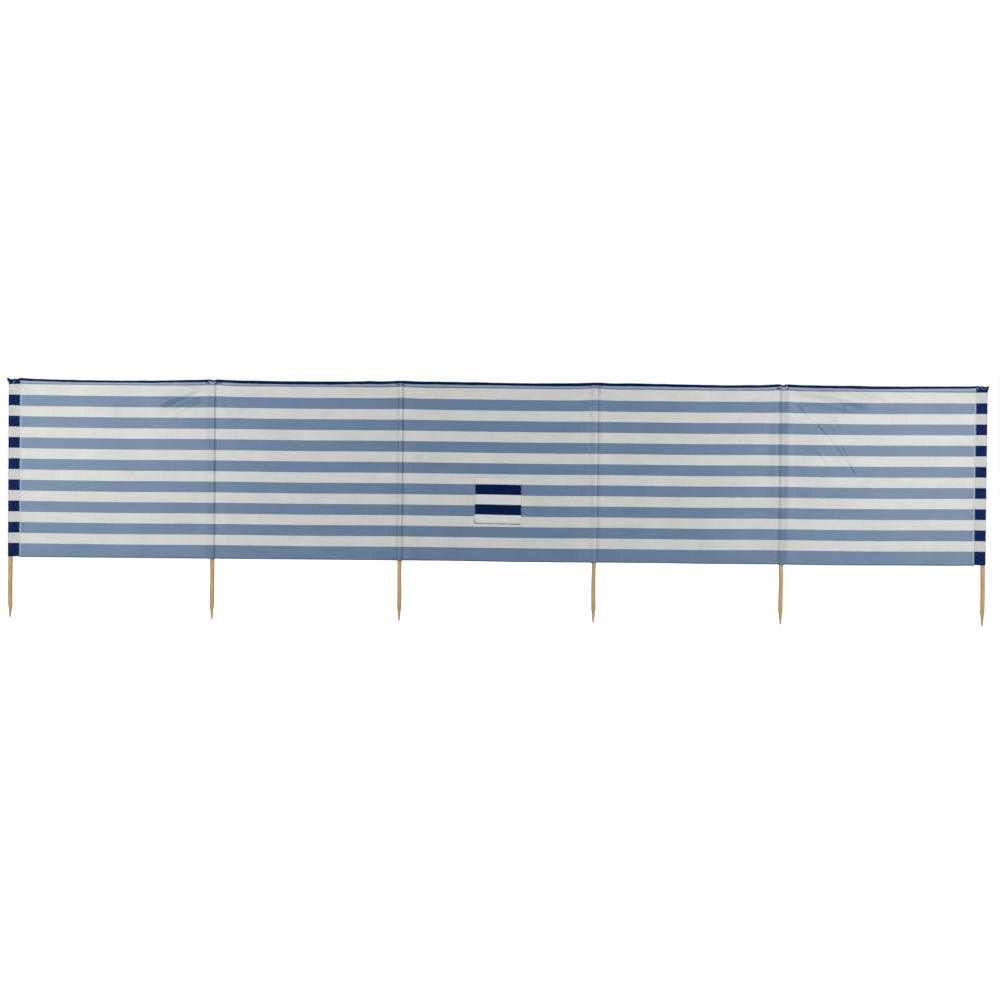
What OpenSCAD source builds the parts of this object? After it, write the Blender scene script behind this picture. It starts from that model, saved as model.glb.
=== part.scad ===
/* [Poles] */
// Length of a pole from its blunt tip to its top
pole_length = 1180; // [1000:10:1600]
// Diameter of a pole
pole_d = 22; // [16:0.5:28]
// Length of the sharpened tip
tip_length = 58; // [30:1:80]
// Diameter of the flat at the very tip
tip_flat_d = 7; // [4:0.5:10]
// Diameter of the tip where it meets the shank
tip_root_d = 18; // [12:0.5:22]
// Height of the small step between the tip and the shank
tip_step = 4; // [2:0.5:8]
// Chamfer round the top end of a pole
pole_top_chamfer = 1.5; // [0.5:0.5:3]
// How much slimmer in radius a pole is inside its sleeve, so that the cloth slides on
sleeve_relief = 0.25; // [0.2:0.05:0.5]

/* [Bays] */
// Distance between poles in each of the two end bays
end_bay = 1015; // [600:5:1400]
// Distance between poles in the bays beside the middle one
side_bay = 942; // [600:5:1400]
// Distance between poles in the middle bay
middle_bay = 977; // [600:5:1400]

/* [Cloth] */
// Height of the cloth's lower edge above the tips of the poles
cloth_foot = 306; // [200:5:500]
// Thickness of the cloth with its coating, as a plain solid
cloth_t = 1.6; // [1:0.1:3]
// Sag of the top edge in the middle of a bay
top_sag = 5; // [0:1:30]
// Rise of the bottom edge in the middle of a bay
bottom_rise = 2; // [0:1:20]
// Number of straight steps in the sagging edges of a bay
sag_steps = 12; // [6:2:24]

/* [Hems] */
// Height of the rolled hem along the top
top_hem_h = 10; // [6:1:20]
// Height of the cloth above the ends of the poles, up to the top of its hem
top_band = 25; // [16:1:50]
// Thickness of the rolled hem along the top
top_hem_t = 4.4; // [3:0.2:8]
// Height of the turned hem along the bottom
bottom_hem_h = 9; // [6:1:20]
// Thickness of the turned hem along the bottom
bottom_hem_t = 2.8; // [2:0.2:6]

/* [Sleeves] */
// Thickness of the cloth round a pole
sleeve_wall = 1.2; // [0.8:0.1:2]
// Free space between a pole and its sleeve
sleeve_clearance = 0.3; // [0.2:0.1:1]
// Thickness of the gathered cloth that closes a sleeve over its pole
sleeve_cap = 4; // [3:0.5:8]
// Width of the folded end sleeves, from the pole's axis inwards
end_sleeve_reach = 45; // [30:1:70]
// Thickness of the folded cloth of the end sleeves
end_sleeve_t = 3.2; // [2.4:0.2:6]
// How far the foot of an end sleeve is drawn up above the cloth's lower edge
end_sleeve_lift = 4; // [0:1:20]
// Gap that lets a bay swing about the sleeve beside it
swing_gap = 0.3; // [0.2:0.1:1]

/* [Pocket] */
// Width of the pocket
pocket_w = 235; // [150:5:300]
// Height of the pocket
pocket_h = 225; // [150:5:300]
// Thickness of the pocket's cloth
pocket_t = 1.2; // [0.8:0.1:3]
// Distance from the cloth's lower edge to the pocket's bottom
pocket_rise = 187; // [100:1:400]
// Height of the pocket's top hem
pocket_hem_h = 24; // [12:1:40]
// Thickness that the pocket's top hem adds
pocket_hem_t = 0.8; // [0.6:0.1:3]
// Distance from the middle of the bay to the pocket's middle, to the right
pocket_shift = 5; // [-100:1:100]

/* [Corner folds] */
// How far a corner fold stands out past its sleeve
ear_reach = 12; // [4:1:20]
// Height of a corner fold
ear_h = 18; // [10:1:20]
// Thickness of a corner fold
ear_t = 3; // [2:0.2:6]

/* [Hidden] */
$fn = 96;

wood_colour = "burlywood";
cloth_colour = "lightsteelblue";
print_colour = "midnightblue";
pocket_colour = "whitesmoke";

// The tip of pole 3 is the origin, and the run goes along X.
pole_x = [
    -side_bay - end_bay,
    -side_bay,
    0,
    middle_bay,
    middle_bay + side_bay,
    middle_bay + side_bay + end_bay
];
pole_r = pole_d / 2;
shoulder_z = tip_length + tip_step;

// A sleeve closes just above the top of its pole, and the cloth's top band runs on over it.
sleeved_r = pole_r - sleeve_relief;
sleeve_inner_r = pole_r + sleeve_clearance;
sleeve_outer_r = sleeve_inner_r + sleeve_wall;
tube_top = pole_length + sleeve_clearance + sleeve_cap;
cloth_top = pole_length + top_band;
cloth_start = sleeve_outer_r + swing_gap;

// The bare foot of a pole ends a little below the cloth.
foot_gap = 4;
foot_top = cloth_foot - foot_gap;

// How far a cutting solid runs past the faces that it cuts.
overcut = 1;

// Sag of an edge at the share t of the way along a bay: a parabola, deepest in the middle.
function sag(t, depth) = depth * (1 - pow(2 * t - 1, 2));

// Points of a bay's edge from x0 to x1 at height z, lowered by its sag.
function edge(x0, x1, z, depth) =
    [for (i = [0:sag_steps]) let (t = i / sag_steps) [x0 + (x1 - x0) * t, z - sag(t, depth)]];

function reversed(points) = [for (i = [len(points) - 1:-1:0]) points[i]];

// First and last X of the cloth in bay k, which runs between poles k and k + 1.
function bay_x0(k) = pole_x[k - 1] + (k == 1 ? end_sleeve_reach : cloth_start);
function bay_x1(k) = pole_x[k] - (k == 5 ? end_sleeve_reach : cloth_start);

// A turned softwood dowel: a blunt sharpened tip, a small step, and a long round shank.
module pole(k) {
    color(wood_colour)
        translate([pole_x[k - 1], 0, 0])
            rotate_extrude()
                polygon([
                    [0, 0],
                    [tip_flat_d / 2, 0],
                    [tip_root_d / 2, tip_length],
                    [pole_r, shoulder_z],
                    [pole_r, foot_top],
                    [sleeved_r, foot_top],
                    [sleeved_r, pole_length - pole_top_chamfer],
                    [sleeved_r - pole_top_chamfer, pole_length],
                    [0, pole_length]
                ]);
}

// Cloth wrapped round a pole, open at its foot and closed over the pole's top.
module sleeve_tube(k, foot) {
    translate([pole_x[k - 1], 0, 0])
        difference() {
            translate([0, 0, foot])
                cylinder(h = tube_top - foot, r = sleeve_outer_r);
            translate([0, 0, foot - overcut])
                cylinder(h = pole_length + sleeve_clearance - foot + overcut, r = sleeve_inner_r);
        }
}

// A sleeve between two bays. The top band crosses over it within the sleeve's own round outline,
// so that the next bay can swing about it.
module middle_sleeve(k) {
    color(cloth_colour)
        union() {
            sleeve_tube(k, cloth_foot);
            translate([pole_x[k - 1], 0, (tube_top + cloth_top) / 2])
                intersection() {
                    cylinder(h = cloth_top - tube_top, r = sleeve_outer_r, center = true);
                    cube([2 * sleeve_outer_r, top_hem_t, cloth_top - tube_top], center = true);
                }
        }
}

// The end of the cloth is folded back over its pole and sewn down as a flat double band.
// side is 1 where the cloth lies to the right of the pole and -1 where it lies to the left.
module end_sleeve(k, side) {
    foot = cloth_foot + end_sleeve_lift;
    band_start = (sleeve_inner_r + sleeve_outer_r) / 2;
    band_w = end_sleeve_reach - band_start;
    tab_w = end_sleeve_reach + sleeve_outer_r;
    color(print_colour)
        union() {
            sleeve_tube(k, foot);
            translate([pole_x[k - 1] + side * (band_start + band_w / 2), 0, (tube_top + foot) / 2])
                cube([band_w, end_sleeve_t, tube_top - foot], center = true);
            translate([
                pole_x[k - 1] + side * (tab_w / 2 - sleeve_outer_r),
                0,
                (tube_top + cloth_top) / 2
            ])
                cube([tab_w, end_sleeve_t, cloth_top - tube_top], center = true);
        }
}

// An upright sheet of the thickness t whose outline is given in X and Z.
module upright(outline, t) {
    rotate([90, 0, 0])
        linear_extrude(height = t, center = true)
            polygon(outline);
}

// The cloth of one bay, between its two hems.
module cloth_bay(k) {
    color(cloth_colour)
        upright(
            concat(
                edge(bay_x0(k), bay_x1(k), cloth_foot + bottom_hem_h, -bottom_rise),
                reversed(edge(bay_x0(k), bay_x1(k), cloth_top - top_hem_h, top_sag))
            ),
            cloth_t
        );
}

// The rolled hem along the top of one bay.
module top_hem(k) {
    color(print_colour)
        upright(
            concat(
                edge(bay_x0(k), bay_x1(k), cloth_top - top_hem_h, top_sag),
                reversed(edge(bay_x0(k), bay_x1(k), cloth_top, top_sag))
            ),
            top_hem_t
        );
}

// The turned hem along the bottom of one bay.
module bottom_hem(k) {
    color(cloth_colour)
        upright(
            concat(
                edge(bay_x0(k), bay_x1(k), cloth_foot, -bottom_rise),
                reversed(edge(bay_x0(k), bay_x1(k), cloth_foot + bottom_hem_h, -bottom_rise))
            ),
            bottom_hem_t
        );
}

// A flat patch pocket on the user's side of the middle bay, open along its top.
pocket_x = (pole_x[2] + pole_x[3] - pocket_w) / 2 + pocket_shift;
pocket_y = -cloth_t / 2 - pocket_t;
pocket_z = cloth_foot + pocket_rise;

module pocket() {
    color(pocket_colour)
        translate([pocket_x, pocket_y, pocket_z])
            cube([pocket_w, pocket_t, pocket_h]);
}

// The pocket's top edge, turned over to the front and sewn down.
module pocket_hem() {
    color(pocket_colour)
        translate([pocket_x, pocket_y - pocket_hem_t, pocket_z + pocket_h - pocket_hem_h])
            cube([pocket_w, pocket_hem_t, pocket_hem_h]);
}

// The corner of the top hem, crumpled into an ear that stands out past the end sleeve.
// side is -1 at the left end of the run and 1 at the right end.
module corner_fold(k, side) {
    color(print_colour)
        translate([
            pole_x[k - 1] + side * (sleeve_outer_r + ear_reach / 2),
            0,
            cloth_top - ear_h / 2
        ])
            cube([ear_reach, ear_t, ear_h], center = true);
}

pole(1);  // pole_1
pole(2);  // pole_2
pole(3);  // pole_3
pole(4);  // pole_4
pole(5);  // pole_5
pole(6);  // pole_6
end_sleeve(1, 1);  // sleeve_1
middle_sleeve(2);  // sleeve_2
middle_sleeve(3);  // sleeve_3
middle_sleeve(4);  // sleeve_4
middle_sleeve(5);  // sleeve_5
end_sleeve(6, -1);  // sleeve_6
cloth_bay(1);  // cloth_bay_1
cloth_bay(2);  // cloth_bay_2
cloth_bay(3);  // cloth_bay_3
cloth_bay(4);  // cloth_bay_4
cloth_bay(5);  // cloth_bay_5
top_hem(1);  // top_hem_1
top_hem(2);  // top_hem_2
top_hem(3);  // top_hem_3
top_hem(4);  // top_hem_4
top_hem(5);  // top_hem_5
bottom_hem(1);  // bottom_hem_1
bottom_hem(2);  // bottom_hem_2
bottom_hem(3);  // bottom_hem_3
bottom_hem(4);  // bottom_hem_4
bottom_hem(5);  // bottom_hem_5
pocket();
pocket_hem();
corner_fold(1, -1);  // corner_fold_left
corner_fold(6, 1);  // corner_fold_right
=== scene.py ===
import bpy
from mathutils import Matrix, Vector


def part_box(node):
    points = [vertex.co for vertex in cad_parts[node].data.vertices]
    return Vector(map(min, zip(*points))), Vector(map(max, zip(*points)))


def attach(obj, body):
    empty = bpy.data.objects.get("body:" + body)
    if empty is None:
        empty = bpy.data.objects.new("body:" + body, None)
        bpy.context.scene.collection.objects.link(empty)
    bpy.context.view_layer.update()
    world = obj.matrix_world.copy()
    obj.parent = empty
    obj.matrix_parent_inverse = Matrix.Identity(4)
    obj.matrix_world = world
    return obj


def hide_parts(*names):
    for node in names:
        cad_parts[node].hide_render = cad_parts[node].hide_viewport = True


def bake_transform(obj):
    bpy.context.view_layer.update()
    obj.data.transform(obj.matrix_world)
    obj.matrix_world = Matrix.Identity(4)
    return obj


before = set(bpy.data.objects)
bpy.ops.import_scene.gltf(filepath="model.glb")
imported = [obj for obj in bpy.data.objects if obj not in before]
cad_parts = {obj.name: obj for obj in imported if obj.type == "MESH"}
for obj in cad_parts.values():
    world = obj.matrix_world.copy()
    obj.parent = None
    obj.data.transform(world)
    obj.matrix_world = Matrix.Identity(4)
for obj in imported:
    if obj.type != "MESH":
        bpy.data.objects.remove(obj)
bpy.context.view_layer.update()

import math

import bpy
import numpy as np
from mathutils import Matrix, Vector


# ---------------------------------------------------------------------------- Poles
# Six softwood dowels, turned round and sharpened to a blunt point that is pushed into the sand.
# The wood is bare: long grain with a few small knots, and the tips are rough and a little soiled.
POLES = range(1, 7)
POLE_BODY = {1: "bay_1", 2: "bay_2", 3: "middle_bay", 4: "middle_bay", 5: "bay_4", 6: "bay_5"}
POLE_X = {k: sum(corner[0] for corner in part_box(f"pole_{k}")) / 2 for k in POLES}
POLE_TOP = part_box("pole_3")[1][2]
POLE_R = 0.011
SLEEVED_R = 0.01075
TIP_LENGTH = 0.058
TIP_FLAT_R = 0.0033
TIP_ROOT_R = 0.009
TIP_STEP = 0.004
BARE_TOP = 0.302
TOP_CHAMFER = 0.0015
WOOD_PALE = (0.78, 0.565, 0.285, 1)
WOOD_DARK = (0.50, 0.325, 0.145, 1)
WOOD_KNOT = (0.17, 0.09, 0.035, 1)
WOOD_SOILED = (0.44, 0.29, 0.13, 1)


def ease(t):
    """A smooth step from 0 to 1 while t goes from 0 to 1: 3t^2 - 2t^3, level outside."""
    t = np.clip(t, 0, 1)
    return t * t * (3 - 2 * t)


def ripples(u, v, seed, shortest, longest, height, count=14):
    """A sum of sine waves that cross at all angles, with lengths from shortest to longest."""
    draw = np.random.default_rng(seed)
    total = np.zeros(np.broadcast(u, v).shape)
    for _ in range(count):
        length = shortest * (longest / shortest) ** draw.random()
        turn, phase = draw.random(2) * 2 * np.pi
        total += np.sin(2 * np.pi * (u * np.cos(turn) + v * np.sin(turn)) / length + phase)
    return total * height / math.sqrt(count)


def grid_quads(rows, columns, first=0, ring=False):
    """Quads of a grid of points numbered row by row, ring joining the last column to the first."""
    i = np.arange(rows - 1)[:, None]
    j = np.arange(columns if ring else columns - 1)[None, :]
    k = (j + 1) % columns
    a, b, c, d = i * columns + j, (i + 1) * columns + j, (i + 1) * columns + k, i * columns + k
    return np.stack([a + 0 * d, b + 0 * d, c, d], axis=-1).reshape(-1, 4) + first


def make_piece(name, points, faces, materials, finish=None, flat=None, at=None):
    """One object in the frame, at the origin. finish is each face's material, flat marks the faces
    with hard edges, and at is each point's place on the flat cloth, kept as cloth_at."""
    mesh = bpy.data.meshes.new(name)
    mesh.from_pydata(np.asarray(points, float).tolist(), [], faces)
    for m in materials:
        mesh.materials.append(m)
    count = len(mesh.polygons)
    if finish is not None:
        mesh.polygons.foreach_set("material_index", np.asarray(finish, np.int32))
    smooth = np.ones(count, bool) if flat is None else ~np.asarray(flat, bool)
    mesh.polygons.foreach_set("use_smooth", smooth)
    if at is not None:
        place = mesh.attributes.new("cloth_at", "FLOAT_VECTOR", "POINT")
        place.data.foreach_set("vector", np.asarray(at, np.float32).ravel())
    mesh.update()
    piece = bpy.data.objects.new(name, mesh)
    bpy.context.scene.collection.objects.link(piece)
    return piece


def add(tree, kind, feeds=None, **settings):
    """One shader node. feeds gives its inputs: a socket is linked and anything else is set."""
    made = tree.nodes.new("ShaderNode" + kind)
    for key, value in settings.items():
        setattr(made, key, value)
    for key, value in (feeds or {}).items():
        if isinstance(value, bpy.types.NodeSocket):
            tree.links.new(value, made.inputs[key])
        else:
            made.inputs[key].default_value = value
    return made


def maths(tree, operation, *values):
    """The result socket of one sum."""
    return add(tree, "Math", dict(enumerate(values)), operation=operation).outputs[0]


def blend_colour(tree, share, a, b, way="MIX"):
    """The result socket of two colours mixed by share."""
    made = add(tree, "Mix", {0: share, 6: a, 7: b}, data_type="RGBA", blend_type=way)
    return made.outputs[2]


def new_material(name, **sockets):
    """A material with its Principled BSDF, whose plain sockets are set by name."""
    made = bpy.data.materials.new(name)
    made.use_nodes = True
    shader = made.node_tree.nodes["Principled BSDF"]
    for key, value in sockets.items():
        shader.inputs[key.replace("_", " ")].default_value = value
    return made, made.node_tree, shader


def make_wood():
    """Softwood: noise drawn out along the grain, growth bands, fine fibres and small knots."""
    made, tree, shader = new_material("bare_softwood", Specular_IOR_Level=0.35)
    place = add(tree, "TexCoord").outputs["Object"]
    drawn = add(tree, "Mapping", {0: place, 3: (1, 1, 0.045)}).outputs[0]
    warp = add(tree, "TexNoise", {"Vector": drawn, "Scale": 60.0, "Detail": 4.0}).outputs[0]
    bands = add(tree, "TexWave", {"Vector": drawn, "Scale": 95.0, "Distortion": 7.0,
                                  "Detail": 3.0, "Detail Scale": 1.4}, wave_type="RINGS").outputs[1]
    fibre_at = add(tree, "Mapping", {0: place, 3: (1, 1, 0.02)}).outputs[0]
    fibres = add(tree, "TexNoise", {"Vector": fibre_at, "Scale": 900.0, "Detail": 3.0}).outputs[0]
    knot_at = add(tree, "Mapping", {0: place, 3: (1, 1, 0.42)}).outputs[0]
    knots = add(tree, "TexVoronoi", {"Vector": knot_at, "Scale": 17.0}).outputs["Distance"]
    knot = add(tree, "MapRange", {0: knots, 1: 0.05, 2: 0.13, 3: 0.85, 4: 0.0},
               interpolation_type="SMOOTHSTEP").outputs[0]
    patch = add(tree, "TexNoise", {"Vector": place, "Scale": 14.0, "Detail": 2.0}).outputs[0]
    tone = maths(tree, "MULTIPLY", bands, 0.45)
    tone = maths(tree, "MULTIPLY_ADD", warp, 0.55, tone)
    tone = maths(tree, "MULTIPLY_ADD", fibres, 0.3, maths(tree, "SUBTRACT", tone, 0.15))
    tone = maths(tree, "MULTIPLY_ADD", patch, 0.5, maths(tree, "SUBTRACT", tone, 0.25))
    grain = blend_colour(tree, tone, WOOD_PALE, WOOD_DARK)
    grain = blend_colour(tree, knot, grain, WOOD_KNOT)
    height = add(tree, "SeparateXYZ", {0: place}).outputs["Z"]
    soiled = add(tree, "MapRange", {0: height, 1: 0.0, 2: 0.075, 3: 0.42, 4: 0.0},
                 interpolation_type="SMOOTHSTEP").outputs[0]
    colour = blend_colour(tree, soiled, grain, WOOD_SOILED)
    rough = add(tree, "MapRange", {0: fibres, 3: 0.5, 4: 0.72}).outputs[0]
    relief = maths(tree, "MULTIPLY_ADD", bands, 0.4, fibres)
    bump = add(tree, "Bump", {"Height": relief, "Strength": 0.5, "Distance": 0.0003}).outputs[0]
    tree.links.new(colour, shader.inputs["Base Color"])
    tree.links.new(rough, shader.inputs["Roughness"])
    tree.links.new(bump, shader.inputs["Normal"])
    return made


wood = make_wood()


def make_pole(k):
    """A turned profile carried round the pole's axis. The tip's radius has a few flats, left by
    the knife, and the bare shank is bowed by less than a millimetre."""
    profile = np.array([
        (0, 0.0), (TIP_FLAT_R * 0.7, 0.0), (TIP_FLAT_R, 0.0012),
        *((TIP_FLAT_R + (TIP_ROOT_R - TIP_FLAT_R) * (s ** 0.82), 0.0012 + (TIP_LENGTH - 0.0012) * s)
          for s in np.linspace(0.08, 1, 14)),
        (TIP_ROOT_R + 0.0006, TIP_LENGTH + TIP_STEP * 0.3),
        (POLE_R - 0.0004, TIP_LENGTH + TIP_STEP * 0.85), (POLE_R, TIP_LENGTH + TIP_STEP * 1.3),
        *((POLE_R, z) for z in np.linspace(0.070, BARE_TOP - 0.002, 30)),
        (SLEEVED_R, BARE_TOP + 0.002),
        *((SLEEVED_R, z) for z in np.linspace(0.33, POLE_TOP - TOP_CHAMFER - 0.001, 22)),
        (SLEEVED_R - 0.0003, POLE_TOP - TOP_CHAMFER * 0.6),
        (SLEEVED_R - TOP_CHAMFER, POLE_TOP), (0, POLE_TOP)])
    sides = 36
    turn = np.linspace(0, 2 * np.pi, sides, endpoint=False)[None, :]
    r, z = profile[1:-1, 0][:, None], profile[1:-1, 1][:, None]
    on_tip = 1 - ease((z - TIP_LENGTH * 0.8) / (TIP_LENGTH * 0.3))
    bare = ease(z / 0.05) * (1 - ease((z - 0.2) / 0.09))
    r = r * (1 - 0.045 * on_tip * (0.5 + 0.5 * np.cos(7 * turn + k + 9 * z / TIP_LENGTH)))
    r = r - 0.00018 * bare * (0.5 + 0.5 * np.sin(3 * turn + 40 * z + 2 * k))
    x = r * np.cos(turn) + 0.0007 * bare * np.sin(17 * z + 1.9 * k)
    y = r * np.sin(turn) + 0.0006 * bare * np.sin(13 * z + 0.7 * k)
    wall = np.stack([x + POLE_X[k], y, z + 0 * turn], axis=-1).reshape(-1, 3)
    rows = len(profile) - 2
    points = np.vstack([wall, [(POLE_X[k], 0, 0), (POLE_X[k], 0, POLE_TOP)]])
    foot, head = len(wall), len(wall) + 1
    ring, on = np.arange(sides), (np.arange(sides) + 1) % sides
    last = (rows - 1) * sides
    faces = grid_quads(rows, sides, ring=True)[:, ::-1].tolist()
    faces += np.stack([ring * 0 + foot, on, ring], axis=1).tolist()
    faces += np.stack([ring * 0 + head, ring + last, on + last], axis=1).tolist()
    return make_piece(f"dowel_{k}", points, faces, [wood])


for k in POLES:
    dowel = make_pole(k)
    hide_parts(f"pole_{k}")
    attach(dowel, POLE_BODY[k])


# ---------------------------------------------------------------------------- Cloth bays
# One length of light coated polyester, printed with even stripes on its far side. On the near
# side the print shows through washed out. It is stretched between the poles, bay by bay.
BAYS = range(1, 6)
BAY_BODY = {1: "bay_1", 2: "bay_2", 3: "middle_bay", 4: "bay_4", 5: "bay_5"}
CLOTH_FOOT = 0.306
CLOTH_TOP = 1.2008
CLOTH_T = 0.0008
BAND_FOOT = 1.1792
SEAM_LEFT = {2: 0.0315, 3: 0.019, 4: 0.025, 5: 0.028}
SEAM_RIGHT = {2: 0.027, 3: 0.025, 4: 0.024, 5: 0.029}
END_REACH = 0.045
STRIPE_PITCH = 0.1064
STRIPE_BLUE = 0.0544
STRIPE_FIRST = 0.4282
WASHED_WHITE = (0.735, 0.737, 0.717, 1)
WASHED_BLUE = (0.147, 0.241, 0.388, 1)
PRINT_WHITE = (0.795, 0.80, 0.80, 1)
PRINT_NAVY = (0.0004, 0.0115, 0.078, 1)
# Creases in the cloth of a bay, each from one point to another in metres, with its width and depth.
CREASES = {
    1: [(-1.390, 1.190, -1.424, 1.140, 0.0040, 0.0017), (-1.409, 1.068, -1.440, 1.012, 0.0040, 0.0016),
        (-1.425, 1.135, -1.452, 1.075, 0.0045, 0.0008), (-1.225, 1.050, -0.965, 1.165, 0.018, 0.0046),
        (-1.150, 1.010, -0.985, 1.110, 0.012, 0.0022), (-1.262, 1.165, -1.10, 1.185, 0.008, 0.0012),
        (-1.60, 1.165, -1.42, 1.140, 0.010, 0.0010)],
    2: [(-0.905, 1.165, -0.700, 1.120, 0.016, 0.0026), (-0.900, 1.130, -0.820, 1.020, 0.014, 0.0012)],
    3: [(0.035, 1.150, 0.200, 1.110, 0.014, 0.0012), (0.900, 1.160, 0.780, 1.120, 0.014, 0.0010)],
    4: [(1.010, 1.150, 1.160, 1.105, 0.014, 0.0012), (1.880, 1.160, 1.740, 1.115, 0.016, 0.0020)],
    5: [(2.055, 1.050, 2.312, 0.725, 0.005, 0.0013), (2.200, 0.930, 2.290, 0.735, 0.005, 0.0010),
        (2.172, 1.165, 2.255, 1.062, 0.005, 0.0011), (1.985, 1.110, 2.090, 0.990, 0.006, 0.0010),
        (2.385, 1.176, 2.436, 1.118, 0.0045, 0.0026), (2.270, 1.176, 2.405, 1.128, 0.006, 0.0026),
        (2.150, 1.060, 2.210, 0.985, 0.005, 0.0010), (2.760, 1.176, 2.835, 1.148, 0.0045, 0.0018),
        (2.500, 1.180, 2.575, 1.140, 0.007, 0.0014), (1.955, 1.165, 2.370, 1.085, 0.022, 0.0050),
        (2.080, 0.880, 2.150, 0.800, 0.006, 0.0008)],
}

# The stripes hang unevenly: how far they lie below their even places, at places along the run.
HANG_X = [-1.96, -1.72, -1.41, -1.11, -0.94, -0.80, -0.50, -0.20, 0.0, 0.25, 0.55, 0.80, 0.98, 1.11,
          1.51, 1.81, 1.92, 2.12, 2.42, 2.72, 2.94]
HANG = [0.0020, 0.0030, 0.0042, 0.0029, 0.0025, 0.0026, 0.0039, 0.0028, 0.0021, 0.0032, 0.0046, 0.0052,
        0.0041, 0.0040, 0.0050, 0.0028, 0.0030, 0.0042, 0.0040, 0.0014, 0.0000]


def stripe_place(x, up):
    """The height on the flat cloth whose stripe shows at the height up: the stripes hang below
    their even places by the interpolated HANG, which dies out toward the top hem."""
    return up + np.interp(x, HANG_X, HANG) * ease((1.185 - up) / 0.09) * ease((up - CLOTH_FOOT) / 0.02)


def bay_ends(k):
    """First and last X of the cloth in bay k, from seam to seam."""
    left = POLE_X[k] + (END_REACH - 0.003 if k == 1 else SEAM_RIGHT[k])
    right = POLE_X[k + 1] - (END_REACH - 0.003 if k == 5 else SEAM_LEFT[k + 1])
    return left, right


# How far the top edge and the foot lie from straight lines, at places along the run, and how deep
# the top edge dips where it crosses each pole.
EDGE_X = [-1.86, -1.66, -1.46, -1.26, -1.06, -0.855, -0.555, -0.35, -0.15, 0.0, 0.15, 0.35, 0.60, 0.855,
          0.955, 1.157, 1.358, 1.66, 1.86, 2.06, 2.26, 2.364, 2.565, 2.766, 2.87]
TOP_LIFT = [0.0, -0.0038, -0.0050, -0.0034, 0.0005, 0.0, -0.0030, -0.0018, 0.0015, 0.0008, 0.0030, 0.0018,
            -0.0010, 0.0004, -0.0004, 0.0037, 0.0007, -0.0012, 0.0022, 0.0018, 0.0008, -0.0006, 0.0015,
            0.0040, 0.0040]
FOOT_X = [0.25, 0.55, 0.80, 1.06, 1.31, 1.56, 1.86, 2.11, 2.31, 2.51, 2.77, 2.87]
FOOT_DROP = [0.0, 0.0028, 0.0032, 0.0020, 0.0018, 0.0035, 0.0026, 0.0046, 0.0040, 0.0022, 0.0018, 0.0]
CROSSING_DIP = {1: 0.0030, 2: 0.0026, 3: 0.0004, 4: 0.0006, 5: 0.0034, 6: 0.0030}


def cloth_z(x, up):
    """Height of the cloth: it is drawn up beside each pole's top, dips where its top edge crosses
    the pole, and its foot is pulled down a little along the pole."""
    z = up
    for k in POLES:
        d = x - POLE_X[k]
        peak = 0.0044 * np.exp(-((d / 0.065) ** 2)) - CROSSING_DIP[k] * np.exp(-((d / 0.013) ** 2))
        z = z + peak * (ease((up - 0.98) / 0.22) if 1 < k < 6 else ease((up - 1.165) / 0.03))
        if 1 < k < 6:
            z = z - 0.0036 * np.exp(-((d / 0.014) ** 2)) * (1 - ease((up - CLOTH_FOOT) / 0.035))
    z = z + np.interp(x, EDGE_X, TOP_LIFT) * ease((up - 1.168) / 0.022)
    return z - np.interp(x, FOOT_X, FOOT_DROP) * (1 - ease((up - CLOTH_FOOT) / 0.055))


def cloth_y(k, x, up):
    """How far the stretched cloth of bay k lies behind the poles' plane: long shallow waves, folds
    that fan out from the poles' tops, and the creases, each a rounded groove along a line. It all
    dies out at the seams and nearly so at the hems."""
    x0, x1 = bay_ends(k)
    t = (x - x0) / (x1 - x0)
    y = 0.0016 * np.sin(2 * np.pi * (1.1 * t + 0.21 * k) + 2.1 * up)
    y = y + 0.0010 * np.sin(2 * np.pi * (2.3 * t - 0.6 * up + 0.37 * k))
    y = y + ripples(x, up * 0.45, 40 + k, 0.07, 0.30, 0.00030)
    y = y + ripples(x, up, 60 + k, 0.020, 0.055, 0.000045)
    for corner, side in ((x0, 1), (x1, -1)):
        dx, dz = side * (x - corner) + 0.012, 1.188 - up
        reach, lean = np.hypot(dx, dz), np.arctan2(dz, dx)
        fan = np.cos(9 * lean + 1.7 * k + side) * np.exp(-reach / 0.16) * ease(reach / 0.05)
        y = y + 0.0022 * fan
    for ax, az, bx, bz, width, depth in CREASES[k]:
        length = math.hypot(bx - ax, bz - az)
        along = ((x - ax) * (bx - ax) + (up - az) * (bz - az)) / length ** 2
        off = ((x - ax) * (bz - az) - (up - az) * (bx - ax)) / length
        off = off + 0.05 * width * np.sin(9 * along) + 0.10 * length * along * (1 - along)
        groove = (off / width) * np.exp(0.5 - (off / width) ** 2 / 2)
        y = y + depth * 1.5 * groove * ease(along / 0.25 + 0.1) * ease((1 - along) / 0.3 + 0.1)
    held = ease(t * (x1 - x0) / 0.045) * ease((1 - t) * (x1 - x0) / 0.045)
    held = held * (0.35 + 0.65 * ease((up - CLOTH_FOOT) / 0.08))
    return y * held * (0.30 + 0.70 * ease((CLOTH_TOP - up) / 0.055))


def grid_of(x, y, z):
    """The points of a grid from their coordinates, which are first spread to one shape."""
    return np.stack(np.broadcast_arrays(x, y, z), axis=-1)


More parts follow.
